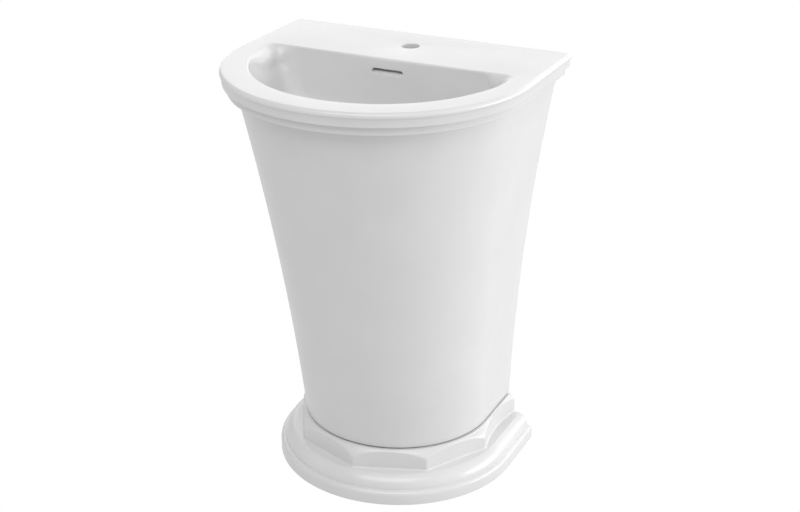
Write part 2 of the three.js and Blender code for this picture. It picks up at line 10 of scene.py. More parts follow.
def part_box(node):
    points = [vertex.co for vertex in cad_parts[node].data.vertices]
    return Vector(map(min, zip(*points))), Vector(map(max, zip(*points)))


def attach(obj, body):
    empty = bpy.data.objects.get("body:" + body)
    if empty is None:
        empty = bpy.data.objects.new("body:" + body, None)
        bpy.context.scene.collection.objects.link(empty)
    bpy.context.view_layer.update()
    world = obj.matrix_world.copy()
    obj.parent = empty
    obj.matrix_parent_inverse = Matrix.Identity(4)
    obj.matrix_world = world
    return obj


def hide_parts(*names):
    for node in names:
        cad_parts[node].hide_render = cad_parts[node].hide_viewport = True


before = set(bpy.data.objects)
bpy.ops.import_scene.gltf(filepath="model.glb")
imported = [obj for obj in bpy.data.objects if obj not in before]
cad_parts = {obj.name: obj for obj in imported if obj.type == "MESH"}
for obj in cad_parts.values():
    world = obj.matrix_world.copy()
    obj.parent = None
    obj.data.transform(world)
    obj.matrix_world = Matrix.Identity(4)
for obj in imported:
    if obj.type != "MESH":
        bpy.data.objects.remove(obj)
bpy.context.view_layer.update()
BODY = "sink"
CREASE = "kept_crease"

# --- camera ---

CAMERA_PLACE = (1.1827, -2.3494, 1.6349)
CAMERA_LENS = 67.08
# Degrees: how far the camera is turned to the left, tipped down, and rolled.
CAMERA_LEFT = 25.54
CAMERA_DOWN = 23.77
CAMERA_ROLL = 0.09

camera_data = bpy.data.cameras.new("camera")
camera_data.sensor_width = 36
camera_data.lens = CAMERA_LENS
camera_data.clip_end = 200
camera = bpy.data.objects.new("camera", camera_data)
turn_left = Matrix.Rotation(math.radians(CAMERA_LEFT), 4, "Z")
look_down = Matrix.Rotation(math.radians(90 - CAMERA_DOWN), 4, "X")
roll = Matrix.Rotation(math.radians(CAMERA_ROLL), 4, "Z")
camera.matrix_world = Matrix.Translation(CAMERA_PLACE) @ turn_left @ look_down @ roll
bpy.context.scene.collection.objects.link(camera)
bpy.context.scene.camera = camera

# --- sizes ---

# Shapes are made with the wall as the plane y = 0 and the room at negative y, then moved back.
basin_low, basin_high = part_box("basin")
column_low, column_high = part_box("pedestal_column")
plinth_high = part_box("pedestal_plinth")[1]
seal_low, seal_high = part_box("column_foot_seal")
WALL_Y = basin_high.y

DECK_TOP = basin_high.z
DECK_HALF = basin_high.x
DECK_REACH = basin_high.y - basin_low.y - DECK_HALF
DECK_UNDERSIDE = DECK_TOP - 0.026
RIM_ROLL = 0.0074
RIM_FACE_TOP = DECK_TOP - 0.012
RIM_FACE_HALF = DECK_HALF - 0.0025
RIM_FACE_SOFTEN = 0.0006
RIM_FACE_ABOVE = 0.0008
RIM_FOOT_HALF = DECK_HALF - 0.0034
RIM_FOOT = DECK_TOP - 0.027
RIM_FOOT_ROUND = 0.0015
BAND_FILLET = 0.0012
BAND_HALF = DECK_HALF - 0.012
BAND_BOTTOM = DECK_TOP - 0.044
BAND_ROUND = 0.003
SKIRT_HALF = 0.2705
SKIRT_REACH = 0.213
SKIRT_ROUND = 0.002

MOUTH_RADIUS = 0.251
MOUTH_CENTRE = -0.209
MOUTH_BACK = -0.1815
MOUTH_SHARPNESS = 16
MOUTH_SWELL = 0.011
# The mouth's corners fade in between the first and the second of these, along y and along x.
CORNER_Y = (-0.320, -0.230)
CORNER_X = (0.195, 0.245)
LIP_ROUND = 0.005
LIP_CORNER_ROUND = 0.036
LIP_SWEEP = math.radians(80)
WALL_LEAN_SIDE = 0.45
WALL_LEAN_BACK = 0.08
CORNER_DRAW = 0.008
WALL_END = 0.085
FLOOR_SHARPNESS = 7
BOWL_DEPTH = 0.142
FLOOR_PULL = 0.040
FLOOR_LEVEL_FROM = 0.53
FLOOR_FALL = 0.004
BOWL_WALL = 0.011

DRAIN_Y = -0.285
DRAIN_HOLE = 0.023
DRAIN_SEAT = 0.033
SEAT_GAP = 0.0005
DRAIN_EDGE = 0.001
DRAIN_BOSS = 0.038
BOSS_FILLET = 0.004
BOSS_BOTTOM = 0.684
TAP_HOLE_Y = -0.086
TAP_HOLE_RADIUS = 0.0175
HOLE_EDGE = 0.0015
SLOT_Z = 0.825
SLOT_HALF = 0.032
SLOT_END = 0.005
SLOT_EDGE = 0.0014
SLOT_TUNNEL = 0.020
APRON_HALF = 0.2
APRON_THICKNESS = 0.014
APRON_BOTTOM = 0.73
APRON_ROUND = 0.0015
# The apron's edges that bend more than this, in radians, are rounded.
APRON_CORNER = 0.5
BOLT_HOLE = 0.010
# The overflow duct has a leg down behind the bowl and one forward; each runs between two values of y.
DUCT_HALF = 0.041
DUCT_DOWN = (-0.185, -0.160)
DUCT_FORWARD = (-0.277, -0.161)
DUCT_HEIGHT = 0.025
DUCT_ROUND = 0.006
# How far pieces of one casting run into each other.
OVERLAP = 0.001

PLINTH_REACH = 0.134
PLINTH_HALF = plinth_high.x
PLINTH_TOP = plinth_high.z

# --- mesh helpers ---

# Steps round the front and along each side of the D-shaped sweeps.
BASIN_STEPS = (200, 30)
COLUMN_STEPS = (220, 24)
PLINTH_STEPS = (720, 60)
SEAL_STEPS = (200, 20)
ROUND_STEPS = 96
BORE_STEPS = 48
QUARTER = [math.radians(15 * i) for i in range(7)]


def lerp(a, b, share):
    return a + (b - a) * share


def circle(steps):
    """Turns all the way round, in radians."""
    return [2 * math.pi * i / steps for i in range(steps)]


def centre_of(node):
    low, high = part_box(node)
    return (low + high) / 2


def smoothstep(value, start, end):
    share = min(max((value - start) / (end - start), 0.0), 1.0)
    return share * share * (3 - 2 * share)


def smooth_min(a, b, blend):
    """The lower of two lengths, with the corner between them rounded over about `blend`."""
    share = min(max(0.5 + 0.5 * (b - a) / blend, 0.0), 1.0)
    return lerp(b, a, share) - blend * share * (1 - share)


def skin(mesh, rows, closed=False, wrap=False):
    """Quads between rows of points; closed joins the ends of each row, wrap the last row to the first."""
    made = [[mesh.verts.new(point) for point in row] for row in rows]
    pairs = list(zip(made, made[1:]))
    if wrap:
        pairs.append((made[-1], made[0]))
    for below, above in pairs:
        steps = len(below) if closed else len(below) - 1
        for i in range(steps):
            j = (i + 1) % len(below)
            mesh.faces.new((below[i], below[j], above[j], above[i]))
    return made


def loop_edges(mesh, verts):
    """The edges round a closed chain of vertices, made where they aren't there yet."""
    edges = []
    for a, b in zip(verts, verts[1:] + verts[:1]):
        edge = mesh.edges.get((a, b))
        edges.append(edge if edge else mesh.edges.new((a, b)))
    return edges


def fill(mesh, *chains):
    """Triangles over the flat area between closed chains of edges."""
    edges = [edge for chain in chains for edge in chain]
    bmesh.ops.triangle_fill(mesh, edges=edges, use_beauty=True)


def arc(centre_r, centre_z, radius, start, end, steps):
    """Points of an arc in the (half width, height) plane."""
    points = []
    for i in range(steps + 1):
        turn = math.radians(lerp(start, end, i / steps))
        points.append((centre_r + radius * math.cos(turn), centre_z + radius * math.sin(turn)))
    return points


def crease(mesh, *rows):
    """Keeps the edge along each row of vertices sharp."""
    layer = mesh.edges.layers.float.new(CREASE)
    for row in rows:
        for a, b in zip(row, row[1:]):
            mesh.edges.get((a, b))[layer] = 1


def finish_mesh(mesh, name, slot_name, node, body=BODY, sharp=35):
    """Turns a bmesh into a smooth object that rides on a body and stands for a CAD node.

    Edges that bend more than `sharp` degrees stay sharp.
    """
    bmesh.ops.remove_doubles(mesh, verts=mesh.verts, dist=1e-6)
    bmesh.ops.recalc_face_normals(mesh, faces=mesh.faces)
    data = bpy.data.meshes.new(name)
    mesh.to_mesh(data)
    mesh.free()
    data.transform(Matrix.Translation((0, WALL_Y, 0)))
    data.polygons.foreach_set("use_smooth", [True] * len(data.polygons))
    data.set_sharp_from_angle(angle=math.radians(sharp))
    if CREASE in data.attributes:
        for edge, share in zip(data.edges, data.attributes[CREASE].data):
            edge.use_edge_sharp = edge.use_edge_sharp or share.value > 0
        data.attributes.remove(data.attributes[CREASE])
    data.materials.append(FINISHES[slot_name])
    piece = bpy.data.objects.new(name, data)
    bpy.context.scene.collection.objects.link(piece)
    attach(piece, body)
    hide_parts(node)


# --- D-shaped sweeps ---


def d_stations(arc_steps, side_steps):
    """(share of the reach, across, out) round a D, from the wall on the right to the left."""
    side = [(i / side_steps, 1.0, 0.0) for i in range(side_steps)]
    stations = list(side)
    for i in range(arc_steps + 1):
        turn = math.pi * i / arc_steps
        stations.append((1.0, math.cos(turn), math.sin(turn)))
    stations += [(share, -across, out) for share, across, out in reversed(side)]
    return stations


def d_ring(stations, halves, z, reach):
    """A D outline; halves is one half width, or one for each station."""
    points = []
    for i, (share, across, out) in enumerate(stations):
        half = halves[i] if isinstance(halves, list) else halves
        points.append((half * across, -reach * share - half * out, z))
    return points


def cap_ends(mesh, rows):
    """Closes a hollow sweep with one face at each end, against the wall."""
    mesh.faces.new([row[0] for row in rows])
    mesh.faces.new([row[-1] for row in rows])


# --- materials ---


# Noise gathers round 0.5, so colours and roughness spread between these two values of it.
NOISE_LOW = 0.3
NOISE_HIGH = 0.7


def set_inputs(node, settings):
    """Sets a node's inputs by name, with _ in place of a space."""
    for name, value in settings.items():
        node.inputs[name.replace("_", " ")].default_value = value


def new_material(name, **settings):
    material = bpy.data.materials.new(name)
    material.use_nodes = True
    tree = material.node_tree
    shader = tree.nodes["Principled BSDF"]
    set_inputs(shader, settings)
    return material, tree, shader


def add_node(tree, kind, **settings):
    node = tree.nodes.new(kind)
    set_inputs(node, settings)
    return node


def add_noise(tree, scale, detail):
    place = add_node(tree, "ShaderNodeTexCoord")
    noise = add_node(tree, "ShaderNodeTexNoise", Scale=scale, Detail=detail)
    tree.links.new(place.outputs["Object"], noise.inputs["Vector"])
    return noise.outputs["Fac"]


def vary_colour(tree, shader, factor, dark, light):
    ramp = add_node(tree, "ShaderNodeValToRGB")
    stops = zip(ramp.color_ramp.elements, (NOISE_LOW, NOISE_HIGH), (dark, light))
    for stop, position, colour in stops:
        stop.position = position
        stop.color = (*colour, 1)
    tree.links.new(factor, ramp.inputs["Fac"])
    tree.links.new(ramp.outputs["Color"], shader.inputs["Base Color"])


def vary_roughness(tree, shader, factor, low, high):
    limits = {"From_Min": NOISE_LOW, "From_Max": NOISE_HIGH, "To_Min": low, "To_Max": high}
    spread = add_node(tree, "ShaderNodeMapRange", **limits)
    tree.links.new(factor, spread.inputs["Value"])
    tree.links.new(spread.outputs["Result"], shader.inputs["Roughness"])


def add_bump(tree, shader, layers):
    """layers: (noise output, height in metres) from coarse to fine, one bump on the next."""
    below = None
    for height, depth in layers:
        bump = add_node(tree, "ShaderNodeBump", Strength=1.0, Distance=depth)
        tree.links.new(height, bump.inputs["Height"])
        if below:
            tree.links.new(below, bump.inputs["Normal"])
        below = bump.outputs["Normal"]
    tree.links.new(below, shader.inputs["Normal"])


def glaze_material():
    """White vitreous china: even glaze with faint clouding and the slightest orange peel."""
    material, tree, shader = new_material("white_glaze", IOR=1.5, Specular_IOR_Level=0.5)
    vary_colour(tree, shader, add_noise(tree, 9, 3), (0.64, 0.64, 0.638), (0.665, 0.665, 0.665))
    vary_roughness(tree, shader, add_noise(tree, 35, 3), 0.21, 0.27)
    add_bump(tree, shader, [(add_noise(tree, 14, 1), 0.00025), (add_noise(tree, 420, 2), 0.000006)])
    return material


def metal_material(name, dark, light, rough_low, rough_high, grain=0.00001, scale=600):
    material, tree, shader = new_material(name, Metallic=1.0)
    vary_colour(tree, shader, add_noise(tree, 40, 4), dark, light)
    vary_roughness(tree, shader, add_noise(tree, 180, 5), rough_low, rough_high)
    add_bump(tree, shader, [(add_noise(tree, 25, 1), 0.0001), (add_noise(tree, scale, 3), grain)])
    return material


def brushed_material(name, dark, light, rough_low, rough_high):
    """Plated steel with fine marks that run one way."""
    material, tree, shader = new_material(name, Metallic=1.0)
    place = add_node(tree, "ShaderNodeTexCoord")
    stretch = add_node(tree, "ShaderNodeMapping", Scale=(900, 60, 900))
    marks = add_node(tree, "ShaderNodeTexNoise", Scale=1.0, Detail=4.0)
    tree.links.new(place.outputs["Object"], stretch.inputs["Vector"])
    tree.links.new(stretch.outputs["Vector"], marks.inputs["Vector"])
    vary_colour(tree, shader, add_noise(tree, 60, 4), dark, light)
    vary_roughness(tree, shader, marks.outputs["Fac"], rough_low, rough_high)
    add_bump(tree, shader, [(marks.outputs["Fac"], 0.00002)])
    return material


def soft_material(name, dark, light, rough_low, rough_high, grain, scale):
    material, tree, shader = new_material(name, Specular_IOR_Level=0.4)
    vary_colour(tree, shader, add_noise(tree, 70, 5), dark, light)
    vary_roughness(tree, shader, add_noise(tree, 120, 4), rough_low, rough_high)
    add_bump(tree, shader, [(add_noise(tree, scale, 4), grain)])
    return material


GLAZE = glaze_material()
SEALANT = soft_material("grey_sealant", (0.30, 0.30, 0.29), (0.42, 0.42, 0.41), 0.5, 0.7, 0.00008, 300)
RUBBER = soft_material("black_rubber", (0.018, 0.018, 0.019), (0.04, 0.04, 0.042), 0.65, 0.9, 0.00005, 900)
CHROME = metal_material("chrome_plate", (0.60, 0.61, 0.62), (0.72, 0.73, 0.74), 0.05, 0.14)
BRASS = metal_material("plain_brass", (0.42, 0.29, 0.11), (0.62, 0.46, 0.20), 0.25, 0.42, 0.00004, 300)
STEEL = brushed_material("zinc_plated_steel", (0.42, 0.43, 0.44), (0.58, 0.59, 0.60), 0.28, 0.46)
PLASTIC = soft_material("white_plastic", (0.70, 0.70, 0.69), (0.78, 0.78, 0.77), 0.36, 0.5, 0.00003, 700)
FINISHES = {
    "glaze": GLAZE,
    "joint_seal": SEALANT,
    "rubber": RUBBER,
    "chrome": CHROME,
    "brass": BRASS,
    "steel": STEEL,
    "white_plastic": PLASTIC,
}

# --- the bowl ---


def d_reach(turn, radius, back_y, sharpness):
    """How far the bowl's outline is from the drain's axis, looking along a turn about it."""
    across, back = math.cos(turn), math.sin(turn)
    shift = MOUTH_CENTRE - DRAIN_Y
    to_circle = back * shift + math.sqrt(radius**2 - (across * shift) ** 2)
    if back <= 0:
        return to_circle
    to_back = (back_y - DRAIN_Y) / back
    return (to_circle**-sharpness + to_back**-sharpness) ** (-1 / sharpness)


def mouth_reach(turn):
    return d_reach(turn, MOUTH_RADIUS, MOUTH_BACK, MOUTH_SHARPNESS)


def corner_share(turn):
    """0 along the front and the straight back, 1 in the mouth's two back corners."""
    reach = mouth_reach(turn)
    y = DRAIN_Y + reach * math.sin(turn)
    x = abs(reach * math.cos(turn))
    return smoothstep(y, *CORNER_Y) * smoothstep(x, *CORNER_X)


def lip_point(turn, share):
    """(reach, depth) on the lip, from the deck at share 0 to the wall at share 1."""
    corner = corner_share(turn)
    round_by = lerp(LIP_ROUND, LIP_CORNER_ROUND, corner)
    sweep = LIP_SWEEP * share
    reach = mouth_reach(turn) + MOUTH_SWELL * corner - round_by * math.sin(sweep)
    return reach, round_by * (1 - math.cos(sweep))


def wall_point(turn, depth):
    """(reach, depth) on the bowl's wall, which leans inwards as it goes down."""
    sunk = min(depth, WALL_END) - LIP_ROUND
    radius = MOUTH_RADIUS - LIP_ROUND - WALL_LEAN_SIDE * sunk
    back = MOUTH_BACK - LIP_ROUND - WALL_LEAN_BACK * sunk
    sharpness = lerp(MOUTH_SHARPNESS, FLOOR_SHARPNESS, sunk / WALL_END)
    return d_reach(turn, radius, back, sharpness) - CORNER_DRAW * corner_share(turn), depth


def bezier(a, b, c, d, share):
    """A point on the cubic curve from a to d that b and c pull on."""
    rest = 1 - share
    weights = (rest**3, 3 * rest * rest * share, 3 * rest * share * share, share**3)
    return tuple(sum(w * p[k] for w, p in zip(weights, (a, b, c, d))) for k in (0, 1))


LIP_ROWS = 12
UPPER_ROWS = 14
LOWER_ROWS = 6
FLOOR_ROWS = 28
WALL_JOIN = 0.050
SLOPE_OVER = 0.01


def bowl_profile(turn):
    """(reach, depth) down one side of the bowl, from the deck to the waste's seat."""
    points = [lip_point(turn, i / LIP_ROWS) for i in range(LIP_ROWS + 1)]
    end = points[-1]
    join = wall_point(turn, WALL_JOIN)
    slope = (wall_point(turn, WALL_JOIN + SLOPE_OVER)[0] - join[0]) / SLOPE_OVER
    pull = (WALL_JOIN - end[1]) / 3
    leave = (end[0] - pull * math.cos(LIP_SWEEP), end[1] + pull * math.sin(LIP_SWEEP))
    arrive = (join[0] - slope * pull, join[1] - pull)
    points += [bezier(end, leave, arrive, join, i / UPPER_ROWS) for i in range(1, UPPER_ROWS + 1)]
    for i in range(1, LOWER_ROWS + 1):
        points.append(wall_point(turn, lerp(WALL_JOIN, WALL_END, i / LOWER_ROWS)))
    side = points[-1]
    slope = (side[0] - wall_point(turn, WALL_END - SLOPE_OVER)[0]) / SLOPE_OVER
    seat = (DRAIN_SEAT + SEAT_GAP, BOWL_DEPTH)
    turn_in = (side[0] + slope * FLOOR_PULL, WALL_END + FLOOR_PULL)
    level_out = (lerp(seat[0], side[0], FLOOR_LEVEL_FROM), BOWL_DEPTH - FLOOR_FALL)
    points += [bezier(side, turn_in, level_out, seat, i / FLOOR_ROWS) for i in range(1, FLOOR_ROWS + 1)]
    return points


def reach_at(profile, depth):
    """How far out a bowl profile is at some depth."""
    for (r0, d0), (r1, d1) in zip(profile, profile[1:]):
        if d0 <= depth <= d1:
            return lerp(r0, r1, (depth - d0) / (d1 - d0))
    return profile[-1][0]


def at_drain(turn, reach, depth):
    """The point at a reach from the drain's axis and a depth under the deck."""
    return reach * math.cos(turn), DRAIN_Y + reach * math.sin(turn), DECK_TOP - depth


def back_wall_y(x, depth):
    """Where the bowl's back wall is at x from the middle, found by turning closer step by step."""
    y = MOUTH_BACK
    for _ in range(6):
        turn = math.atan2(y - DRAIN_Y, x)
        reach = reach_at(bowl_profile(turn), depth)
        y = DRAIN_Y + reach * math.sin(turn)
    return y


BOWL_SECTORS = 540
SLOT_ROUND_STEPS = 24
SLOT_SIDE_STEPS = 20
# The patch of bowl wall that is taken out and filled again round the slot.
PATCH_SIDE = 0.008
PATCH_RISE = 0.006
PATCH_FROM = -0.2


def stadium(half, end):
    """(x, z) round a slot with half-round ends."""
    points = []
    for side, start in ((1, -90), (-1, 90)):
        middle = side * (half - end)
        for i in range(SLOT_ROUND_STEPS + 1):
            turn = math.radians(start + 180 * i / SLOT_ROUND_STEPS)
            points.append((middle + end * math.cos(turn), end * math.sin(turn)))
        across, height = points[-1]
        for i in range(1, SLOT_SIDE_STEPS):
            points.append((lerp(across, -middle, i / SLOT_SIDE_STEPS), height))
    return points


def add_overflow_slot(mesh):
    """Cuts the overflow into the back wall: a rounded edge, then a short dark tunnel."""
    depth = DECK_TOP - SLOT_Z
    patch = set()
    for face in mesh.faces:
        middle = face.calc_center_median()
        near = abs(middle.x) < SLOT_HALF + PATCH_SIDE and abs(middle.z - SLOT_Z) < SLOT_END + PATCH_RISE
        if near and PATCH_FROM < middle.y < MOUTH_BACK:
            patch.add(face)
    border = [e for f in patch for e in f.edges if sum(g in patch for g in e.link_faces) == 1]
    bmesh.ops.delete(mesh, geom=list(patch), context="FACES")
    rings = []
    for turn in QUARTER:
        grow = SLOT_EDGE * (1 - math.sin(turn))
        inward = SLOT_EDGE * (1 - math.cos(turn))
        outline = stadium(SLOT_HALF + grow, SLOT_END + grow)
        rings.append([(x, back_wall_y(x, depth - z) + inward, SLOT_Z + z) for x, z in outline])
    rings.append([(x, y + SLOT_TUNNEL, z) for x, y, z in rings[-1]])
    made = skin(mesh, rings, closed=True)
    mesh.faces.new(made[-1])
    fill(mesh, list(set(border)), loop_edges(mesh, made[0]))


def round_hole(mesh, y, radius, top, bottom):
    """A round hole with softened edges; returns its top and bottom rings of vertices."""
    profile = []
    for turn in QUARTER:
        profile.append((radius + HOLE_EDGE * (1 - math.sin(turn)), top - HOLE_EDGE * (1 - math.cos(turn))))
    profile += [(r, bottom + top - z) for r, z in reversed(profile)]
    turns = circle(ROUND_STEPS)
    rings = [[(r * math.cos(t), y + r * math.sin(t), z) for t in turns] for r, z in profile]
    made = skin(mesh, rings, closed=True)
    return made[0], made[-1]


def rim_profile():
    """(half width, height, reach) down the rim and band and up inside the skirt."""
    roll_half = DECK_HALF - RIM_ROLL
    outside = arc(roll_half, DECK_TOP - RIM_ROLL, RIM_ROLL, 90, -12, 16)
    outside.append((RIM_FACE_HALF + RIM_FACE_SOFTEN, RIM_FACE_TOP + RIM_FACE_ABOVE))
    outside.append((RIM_FACE_HALF, RIM_FACE_TOP - RIM_FACE_SOFTEN))
    foot = RIM_FOOT_HALF - RIM_FOOT_ROUND
    outside += arc(foot, RIM_FOOT + RIM_FOOT_ROUND, RIM_FOOT_ROUND, 0, -90, 6)
    outside += arc(BAND_HALF + BAND_FILLET, RIM_FOOT - BAND_FILLET, BAND_FILLET, 90, 180, 4)
    outside += arc(BAND_HALF - BAND_ROUND, BAND_BOTTOM + BAND_ROUND, BAND_ROUND, 0, -90, 8)
    inside = arc(SKIRT_HALF + SKIRT_ROUND, BAND_BOTTOM + SKIRT_ROUND, SKIRT_ROUND, -90, -180, 4)
    inside.append((SKIRT_HALF, DECK_UNDERSIDE))
    return [(r, z, DECK_REACH) for r, z in outside] + [(r, z, SKIRT_REACH) for r, z in inside]


def build_basin():
    mesh = bmesh.new()
    stations = d_stations(*BASIN_STEPS)
    rim = skin(mesh, [d_ring(stations, r, z, reach) for r, z, reach in rim_profile()])
    mesh.faces.new([row[0] for row in rim] + [row[-1] for row in reversed(rim)])

    turns = [2 * math.pi * (i + 0.5) / BOWL_SECTORS for i in range(BOWL_SECTORS)]
    profiles = [bowl_profile(turn) for turn in turns]
    seat = [(DRAIN_HOLE + DRAIN_EDGE, BOWL_DEPTH), (DRAIN_HOLE, BOWL_DEPTH + DRAIN_EDGE),
            (DRAIN_HOLE, DECK_TOP - BOSS_BOTTOM)]
    rows = []
    for k in range(len(profiles[0])):
        rows.append([at_drain(turn, *profile[k]) for turn, profile in zip(turns, profiles)])
    rows += [[at_drain(turn, *point) for turn in turns] for point in seat]
    bowl = skin(mesh, rows, closed=True)
    add_overflow_slot(mesh)

    tap_top, tap_bottom = round_hole(mesh, TAP_HOLE_Y, TAP_HOLE_RADIUS, DECK_TOP, DECK_UNDERSIDE)
    fill(mesh, loop_edges(mesh, rim[0]), loop_edges(mesh, bowl[0]), loop_edges(mesh, tap_top))
    outside = add_bowl_outside(mesh, turns, profiles, bowl[-1])
    fill(mesh, loop_edges(mesh, rim[-1]), loop_edges(mesh, outside), loop_edges(mesh, tap_bottom))
    add_apron(mesh)
    add_overflow_duct(mesh)
    finish_mesh(mesh, "glazed_basin", "glaze", "basin")


def add_bowl_outside(mesh, turns, profiles, hole_ring):
    """The underside of the bowl, one wall's thickness out, down to the boss round the waste.

    Returns its top ring, which lies in the deck's underside.
    """
    top = DECK_TOP - DECK_UNDERSIDE
    first = LIP_ROWS + UPPER_ROWS
    rows = []
    for drop in (0, 0.006, 0.012, 0.018):
        depth = top + drop
        row = []
        for turn, profile in zip(turns, profiles):
            row.append(at_drain(turn, reach_at(profile, depth) + BOWL_WALL, depth))
        rows.append(row)
    for k in range(first, len(profiles[0]), 2):
        row = []
        for turn, profile in zip(turns, profiles):
            reach, depth = profile[k]
            below = max(0.0, (depth - WALL_END) / (BOWL_DEPTH - WALL_END))
            outside = max(reach, DRAIN_BOSS) + BOWL_WALL * (1 - below**3)
            row.append(at_drain(turn, outside, depth + BOWL_WALL * below))
        rows.append(row)
    bowl_bottom = BOWL_DEPTH + BOWL_WALL
    boss_depth = DECK_TOP - BOSS_BOTTOM
    for reach, depth in (
        (DRAIN_BOSS + BOSS_FILLET, bowl_bottom),
        (DRAIN_BOSS, bowl_bottom + BOSS_FILLET),
        (DRAIN_BOSS, boss_depth - HOLE_EDGE),
        (DRAIN_BOSS - HOLE_EDGE, boss_depth),
    ):
        rows.append([at_drain(turn, reach, depth) for turn in turns])
    rows.append([vert.co[:] for vert in hole_ring])
    return skin(mesh, rows, closed=True)[0]


def cut_plate(mesh, stacks):
    """A flat plate from outlines on its two faces: the stack of its edge first, then those of its holes."""
    sides = [skin(mesh, stack, closed=True) for stack in stacks]
    for level in (0, 1):
        fill(mesh, *[loop_edges(mesh, made[level]) for made in sides])


def round_outline(centre, radius):
    """Points round a bore, in whichever plane its centre is given."""
    across, along = centre
    return [(across + radius * math.cos(t), along + radius * math.sin(t)) for t in circle(BORE_STEPS)]


def add_apron(mesh):
    """The plate behind the bowl that the wall bolts go through."""
    plate = bmesh.new()
    top = DECK_UNDERSIDE + OVERLAP
    bottom_corners = [(-APRON_HALF, APRON_BOTTOM), (APRON_HALF, APRON_BOTTOM)]
    outlines = [bottom_corners + [(APRON_HALF, top), (-APRON_HALF, top)]]
    for node in ("wall_bolt_left", "wall_bolt_right"):
        outlines.append(round_outline(centre_of(node).xz, BOLT_HOLE))
    stacks = []
    for outline in outlines:
        stacks.append([[(x, y, z) for x, z in outline] for y in (0, -APRON_THICKNESS)])
    cut_plate(plate, stacks)
    bmesh.ops.recalc_face_normals(plate, faces=plate.faces)
    edges = [e for e in plate.edges if e.is_manifold and e.calc_face_angle() > APRON_CORNER]
    bmesh.ops.bevel(plate, geom=edges, offset=APRON_ROUND, segments=3, profile=0.5, affect="EDGES")
    join_in(mesh, plate)


def join_in(mesh, other):
    """Copies another bmesh into this one."""
    bmesh.ops.recalc_face_normals(other, faces=other.faces)
    copies = {vert: mesh.verts.new(vert.co) for vert in other.verts}
    for face in other.faces:
        mesh.faces.new([copies[vert] for vert in face.verts])
    other.free()


def add_block(mesh, half, y_range, z_range, edge_round):
    """A block with rounded edges, as far to the left as to the right."""
    box = bmesh.new()
    bmesh.ops.create_cube(box, size=1)
    for vert in box.verts:
        x, y, z = vert.co
        vert.co = (lerp(-half, half, x + 0.5), lerp(*y_range, y + 0.5), lerp(*z_range, z + 0.5))
    bmesh.ops.bevel(box, geom=box.edges[:], offset=edge_round, segments=4, profile=0.5, affect="EDGES")
    join_in(mesh, box)


def add_overflow_duct(mesh):
    """The overflow's channel, down behind the bowl and forward to the boss."""
    add_block(mesh, DUCT_HALF, DUCT_DOWN, (BOSS_BOTTOM, DECK_UNDERSIDE + OVERLAP), DUCT_ROUND)
    add_block(mesh, DUCT_HALF, DUCT_FORWARD, (BOSS_BOTTOM, BOSS_BOTTOM + DUCT_HEIGHT), DUCT_ROUND)


# --- column ---

COLUMN_FOOT = column_low.z
COLUMN_NECK = 0.804
COLUMN_WALL = 0.011
COLUMN_EDGE = 0.0014
COLUMN_ROWS = 70
INSIDE_STEP = 5
# Half width and reach of the column: at its foot, then by the rise and by the rise squared.
COLUMN_HALF = (0.194, 0.028, 0.1098)
COLUMN_REACH = (0.1334, 0.144, -0.0443)


def column_section(z, inset):
    """(half width, height, reach) of the column at a height, moved in by `inset`."""
    rise = min(z, COLUMN_NECK) - COLUMN_FOOT
    sizes = []
    for foot, slope, bend in (COLUMN_HALF, COLUMN_REACH):
        sizes.append(foot + slope * rise + bend * rise**2)
    half, reach = sizes
    return half - inset, z, reach


def build_column():
    top = column_high.z
    profile = []
    for out, up in arc(0, COLUMN_FOOT + COLUMN_EDGE, COLUMN_EDGE, -90, -30, 2):
        profile.append(column_section(up, COLUMN_EDGE - out))
    for i in range(COLUMN_ROWS + 1):
        z = lerp(COLUMN_FOOT + COLUMN_EDGE, top - COLUMN_EDGE, i / COLUMN_ROWS)
        profile.append(column_section(z, 0))
    for out, up in arc(0, top - COLUMN_EDGE, COLUMN_EDGE, 30, 90, 2):
        profile.append(column_section(up, COLUMN_EDGE - out))
    for i in range(COLUMN_ROWS, -1, -INSIDE_STEP):
        profile.append(column_section(lerp(COLUMN_FOOT, top, i / COLUMN_ROWS), COLUMN_WALL))
    mesh = bmesh.new()
    stations = d_stations(*COLUMN_STEPS)
    rows = skin(mesh, [d_ring(stations, r, z, reach) for r, z, reach in profile], wrap=True)
    cap_ends(mesh, rows)
    finish_mesh(mesh, "glazed_column", "glaze", "pedestal_column")


# --- plinth ---

LEDGE = 0.0533
LEDGE_ROUND = 0.0035
STEP = 0.0285
STEP_ROUND = 0.009
TORUS_ROUND = 0.0273
TORUS_HALF = 0.2115
TORUS_Z = 0.027
TORUS_FROM = 4.2
TORUS_TO = 74.5
TORUS_STEPS = 30
# The seam under the round, and the gap left between the round and the facets' foot.
SEAM_OUT = 0.0003
SEAM_UP = 0.0001
LEDGE_GAP = 0.0004
FLARE_HALF = 0.1695
FLARE_Z = 0.0514
FLARE_RADIUS = 0.0507
FACET_RADIUS = 0.213
FACET_TURN = 40.5
SIDE_AT_WALL = 0.2072
SIDE_SAG = 0.0113
# Degrees from straight sideways within which the hollow side can cut into a facet.
SIDE_REGION = 20
EDGE_BLEND = 0.0022
FOOT_ROUND = 0.0015
TOP_ROUND = 0.0012
FACET_LEVELS = 44
# (half width, height) down the plinth's inside, from its top to the floor.
PLINTH_INSIDE = [
    (0.1662, PLINTH_TOP), (0.165, PLINTH_TOP - TOP_ROUND), (0.165, 0.0845), (0.1835, 0.0845),
    (0.185, 0.083), (0.186, 0.051), (0.188, 0.0485), (0.204, 0.043), (0.226, 0.027),
    (0.2365, 0.0185), (0.238, 0.016), (0.238, 0.0), (0.240, 0.0),
]
LUG_HALF = 0.025
LUG_INWARD = 0.020
LUG_OUTER = 0.242
LUG_THICKNESS = 0.012
SCREW_HOLE = 0.0045
SEAL_INNER = 0.184
SEAL_EDGE = 0.0006


